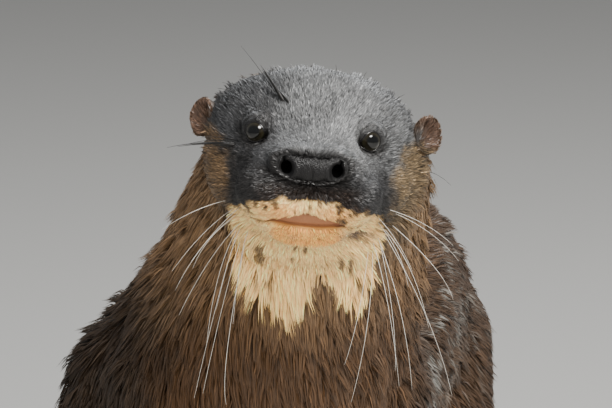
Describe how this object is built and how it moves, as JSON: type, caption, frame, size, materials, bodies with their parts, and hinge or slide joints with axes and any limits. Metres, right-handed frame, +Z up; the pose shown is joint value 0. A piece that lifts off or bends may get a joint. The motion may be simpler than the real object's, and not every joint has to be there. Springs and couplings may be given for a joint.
{
  "type": "spotted-necked otter, standing",
  "caption": "Life-size otter standing on four feet, neck raised, head turned slightly to its left, wet dark fur and a cream throat.",
  "frame": {"origin": "centre of the box of the whole animal, at the floor under its feet and tail", "axes": "+Z up, +Y from the head toward the tail's tip, +X toward the otter's own left"},
  "size_m": [0.2112, 0.8822, 0.3462],
  "materials": {
    "face_fur": "wet grey-black short fur",
    "neck_fur": "damp brown fur with a cream throat",
    "body_fur": "wet dark brown fur",
    "nose_pad": "wet naked skin",
    "ear_skin": "thinly haired skin",
    "eye": "wet and glossy",
    "claw": "smooth horn"
  },
  "bodies": {
    "root": {"chest": "body_fur", "claw_fore_left_1": "claw", "claw_fore_left_2": "claw", "claw_fore_left_3": "claw", "claw_fore_left_4": "claw", "claw_fore_left_5": "claw", "claw_fore_right_1": "claw", "claw_fore_right_2": "claw", "claw_fore_right_3": "claw", "claw_fore_right_4": "claw", "claw_fore_right_5": "claw", "claw_hind_left_1": "claw", "claw_hind_left_2": "claw", "claw_hind_left_3": "claw", "claw_hind_left_4": "claw", "claw_hind_left_5": "claw", "claw_hind_right_1": "claw", "claw_hind_right_2": "claw", "claw_hind_right_3": "claw", "claw_hind_right_4": "claw", "claw_hind_right_5": "claw", "ear_left": "ear_skin", "ear_right": "ear_skin", "eye_left": "eye", "eye_right": "eye", "forefoot_left": "body_fur", "forefoot_right": "body_fur", "head": "face_fur", "hindfoot_left": "body_fur", "hindfoot_right": "body_fur", "loin": "body_fur", "lower_foreleg_left": "body_fur", "lower_foreleg_right": "body_fur", "lower_hindleg_left": "body_fur", "lower_hindleg_right": "body_fur", "neck": "neck_fur", "nose": "nose_pad", "rump": "body_fur", "tail_base": "body_fur", "tail_middle": "body_fur", "tail_tip": "body_fur", "thigh_left": "body_fur", "thigh_right": "body_fur", "upper_foreleg_left": "body_fur", "upper_foreleg_right": "body_fur"}
  },
  "joints": []
}
